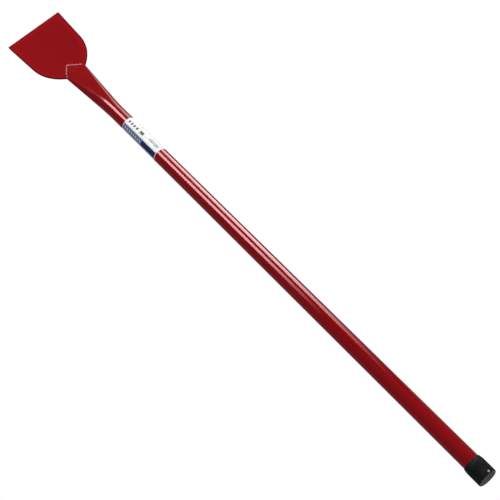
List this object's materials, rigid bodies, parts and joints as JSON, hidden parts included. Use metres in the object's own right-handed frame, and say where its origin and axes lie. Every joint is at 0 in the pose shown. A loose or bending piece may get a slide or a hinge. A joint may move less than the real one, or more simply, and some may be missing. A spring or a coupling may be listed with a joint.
{
  "type": "roofing shovel",
  "caption": "Long straight steel tube handle, pressed flat and welded onto a wide flat scraping blade with rounded shoulders, for prising up old roof covering.",
  "frame": {"origin": "centre of the butt cap's end face, on the axis of the tube", "axes": "+X along the tube from the butt to the cutting edge, +Y across the blade, +Z out of the blade's front face"},
  "size_m": [1.406, 0.14, 0.0366],
  "materials": {
    "blade_paint": "glossy red enamel on steel plate",
    "tube_paint": "glossy red enamel on steel tube",
    "weld_paint": "glossy red enamel over a rippled weld bead",
    "label_film": "glossy printed film, white and blue",
    "cap_vinyl": "black dipped vinyl, slightly glossy"
  },
  "bodies": {
    "root": {"blade": "blade_paint", "handle_tube": "tube_paint", "weld_front": "weld_paint", "weld_back": "weld_paint", "label": "label_film", "end_cap": "cap_vinyl"}
  },
  "joints": []
}
